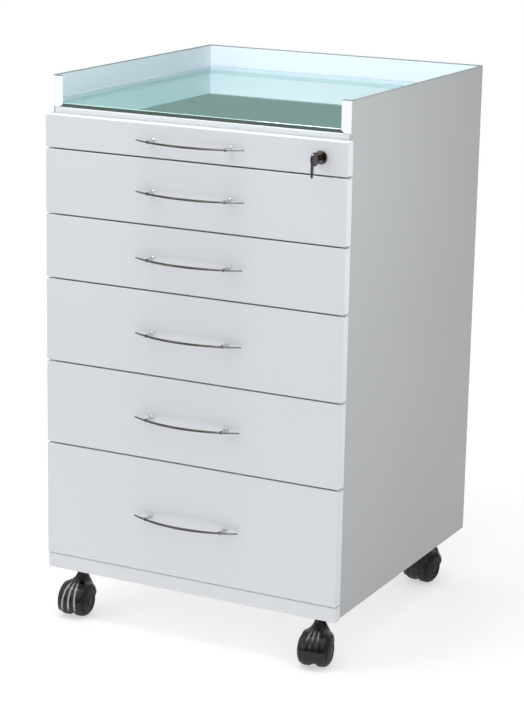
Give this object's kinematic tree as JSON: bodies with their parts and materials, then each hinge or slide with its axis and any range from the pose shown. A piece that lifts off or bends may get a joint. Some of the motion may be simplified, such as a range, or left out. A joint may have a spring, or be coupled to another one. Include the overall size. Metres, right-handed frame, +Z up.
{
  "type": "mobile drawer cabinet",
  "caption": "Upright white steel instrument cabinet on hooded twin-wheel castors, with stacked bow-handled drawers, a cam lock and a glass work top inside a three-sided upstand.",
  "frame": {"origin": "centre of the footprint's bounding box on the floor, under the castor wheels", "axes": "+Z up, -Y out of the drawer fronts towards the user, +X to the user's right when facing the fronts"},
  "size_m": [0.5, 0.542, 0.85],
  "materials": {
    "body_paint": "gloss white powder coat",
    "front_paint": "high-gloss white enamel",
    "box_paint": "satin white powder coat",
    "glass": "clear float glass with a green edge",
    "seal": "translucent silicone",
    "handle_metal": "dark satin chrome",
    "slide_steel": "zinc plated",
    "lock_metal": "polished nickel",
    "key_dark": "dark key",
    "hood_plastic": "glossy black nylon",
    "wheel_plastic": "matt black tread and disc"
  },
  "bodies": {
    "carcass": {"side_panel_left": "body_paint", "side_panel_right": "body_paint", "back_panel": "body_paint", "base_pan": "body_paint", "top_panel": "body_paint", "glass_top": "glass", "glass_seal": "seal", "slide_outer_members": "slide_steel", "caster_stems": "slide_steel"},
    "drawer_1": {"drawer_1_front": "front_paint", "drawer_1_box": "box_paint", "drawer_1_handle": "handle_metal", "drawer_1_handle_screws": "slide_steel", "drawer_1_slide_inner": "slide_steel", "lock_barrel": "lock_metal", "lock_nut": "lock_metal"},
    "slide_middle_1": {"drawer_1_slide_middle": "slide_steel"},
    "drawer_2": {"drawer_2_front": "front_paint", "drawer_2_box": "box_paint", "drawer_2_handle": "handle_metal", "drawer_2_handle_screws": "slide_steel", "drawer_2_slide_inner": "slide_steel"},
    "slide_middle_2": {"drawer_2_slide_middle": "slide_steel"},
    "drawer_3": {"drawer_3_front": "front_paint", "drawer_3_box": "box_paint", "drawer_3_handle": "handle_metal", "drawer_3_handle_screws": "slide_steel", "drawer_3_slide_inner": "slide_steel"},
    "slide_middle_3": {"drawer_3_slide_middle": "slide_steel"},
    "drawer_4": {"drawer_4_front": "front_paint", "drawer_4_box": "box_paint", "drawer_4_handle": "handle_metal", "drawer_4_handle_screws": "slide_steel", "drawer_4_slide_inner": "slide_steel"},
    "slide_middle_4": {"drawer_4_slide_middle": "slide_steel"},
    "drawer_5": {"drawer_5_front": "front_paint", "drawer_5_box": "box_paint", "drawer_5_handle": "handle_metal", "drawer_5_handle_screws": "slide_steel", "drawer_5_slide_inner": "slide_steel"},
    "slide_middle_5": {"drawer_5_slide_middle": "slide_steel"},
    "drawer_6": {"drawer_6_front": "front_paint", "drawer_6_box": "box_paint", "drawer_6_handle": "handle_metal", "drawer_6_handle_screws": "slide_steel", "drawer_6_slide_inner": "slide_steel"},
    "slide_middle_6": {"drawer_6_slide_middle": "slide_steel"},
    "lock": {"lock_core": "lock_metal", "lock_cam": "lock_metal", "key": "lock_metal", "key_pin": "lock_metal"},
    "key_head": {"key_grip": "key_dark"},
    "caster_fl_swivel": {"caster_fl_hood": "hood_plastic"},
    "caster_fl_wheelset": {"caster_fl_wheels": "wheel_plastic"},
    "caster_fr_swivel": {"caster_fr_hood": "hood_plastic"},
    "caster_fr_wheelset": {"caster_fr_wheels": "wheel_plastic"},
    "caster_rl_swivel": {"caster_rl_hood": "hood_plastic"},
    "caster_rl_wheelset": {"caster_rl_wheels": "wheel_plastic"},
    "caster_rr_swivel": {"caster_rr_hood": "hood_plastic"},
    "caster_rr_wheelset": {"caster_rr_wheels": "wheel_plastic"}
  },
  "joints": [
    {"name": "drawer_1_slide", "type": "slide", "parent": "carcass", "child": "drawer_1", "axis": [0, -1, 0], "range_m": [0, 0.42]},
    {"name": "slide_middle_1_travel", "type": "slide", "parent": "carcass", "child": "slide_middle_1", "axis": [0, -1, 0], "range_m": [0, 0.21]},
    {"name": "drawer_2_slide", "type": "slide", "parent": "carcass", "child": "drawer_2", "axis": [0, -1, 0], "range_m": [0, 0.42]},
    {"name": "slide_middle_2_travel", "type": "slide", "parent": "carcass", "child": "slide_middle_2", "axis": [0, -1, 0], "range_m": [0, 0.21]},
    {"name": "drawer_3_slide", "type": "slide", "parent": "carcass", "child": "drawer_3", "axis": [0, -1, 0], "range_m": [0, 0.42]},
    {"name": "slide_middle_3_travel", "type": "slide", "parent": "carcass", "child": "slide_middle_3", "axis": [0, -1, 0], "range_m": [0, 0.21]},
    {"name": "drawer_4_slide", "type": "slide", "parent": "carcass", "child": "drawer_4", "axis": [0, -1, 0], "range_m": [0, 0.42]},
    {"name": "slide_middle_4_travel", "type": "slide", "parent": "carcass", "child": "slide_middle_4", "axis": [0, -1, 0], "range_m": [0, 0.21]},
    {"name": "drawer_5_slide", "type": "slide", "parent": "carcass", "child": "drawer_5", "axis": [0, -1, 0], "range_m": [0, 0.42]},
    {"name": "slide_middle_5_travel", "type": "slide", "parent": "carcass", "child": "slide_middle_5", "axis": [0, -1, 0], "range_m": [0, 0.21]},
    {"name": "drawer_6_slide", "type": "slide", "parent": "carcass", "child": "drawer_6", "axis": [0, -1, 0], "range_m": [0, 0.42]},
    {"name": "slide_middle_6_travel", "type": "slide", "parent": "carcass", "child": "slide_middle_6", "axis": [0, -1, 0], "range_m": [0, 0.21]},
    {"name": "lock_turn", "type": "hinge", "parent": "drawer_1", "child": "lock", "pos_m": [0.2078, -0.239, 0.768], "axis": [0, 1, 0], "range_deg": [0, 90]},
    {"name": "key_fold", "type": "hinge", "parent": "lock", "child": "key_head", "pos_m": [0.2078, -0.26, 0.768], "axis": [-1, 0, 0], "range_deg": [0, 90]},
    {"name": "caster_fl_turn", "type": "hinge", "parent": "carcass", "child": "caster_fl_swivel", "pos_m": [-0.209, -0.201, 0.066], "axis": [0, 0, 1], "continuous": true},
    {"name": "caster_fl_roll", "type": "hinge", "parent": "caster_fl_swivel", "child": "caster_fl_wheelset", "pos_m": [-0.20747, -0.22295, 0.025], "axis": [0.9976, 0.0698, 0], "continuous": true},
    {"name": "caster_fr_turn", "type": "hinge", "parent": "carcass", "child": "caster_fr_swivel", "pos_m": [0.209, -0.203, 0.066], "axis": [0, 0, 1], "continuous": true},
    {"name": "caster_fr_roll", "type": "hinge", "parent": "caster_fr_swivel", "child": "caster_fr_wheelset", "pos_m": [0.21282, -0.22467, 0.025], "axis": [0.9848, 0.1736, 0], "continuous": true},
    {"name": "caster_rl_turn", "type": "hinge", "parent": "carcass", "child": "caster_rl_swivel", "pos_m": [-0.209, 0.217, 0.066], "axis": [0, 0, 1], "continuous": true},
    {"name": "caster_rl_roll", "type": "hinge", "parent": "caster_rl_swivel", "child": "caster_rl_wheelset", "pos_m": [-0.20708, 0.19508, 0.025], "axis": [0.9962, 0.0872, 0], "continuous": true},
    {"name": "caster_rr_turn", "type": "hinge", "parent": "carcass", "child": "caster_rr_swivel", "pos_m": [0.209, 0.217, 0.066], "axis": [0, 0, 1], "continuous": true},
    {"name": "caster_rr_roll", "type": "hinge", "parent": "caster_rr_swivel", "child": "caster_rr_wheelset", "pos_m": [0.20518, 0.19533, 0.025], "axis": [0.9848, -0.1736, 0], "continuous": true}
  ],
  "couplings": [
    {"joint": "slide_middle_1_travel", "follows": "drawer_1_slide", "ratio": 0.5},
    {"joint": "slide_middle_2_travel", "follows": "drawer_2_slide", "ratio": 0.5},
    {"joint": "slide_middle_3_travel", "follows": "drawer_3_slide", "ratio": 0.5},
    {"joint": "slide_middle_4_travel", "follows": "drawer_4_slide", "ratio": 0.5},
    {"joint": "slide_middle_5_travel", "follows": "drawer_5_slide", "ratio": 0.5},
    {"joint": "slide_middle_6_travel", "follows": "drawer_6_slide", "ratio": 0.5}
  ]
}
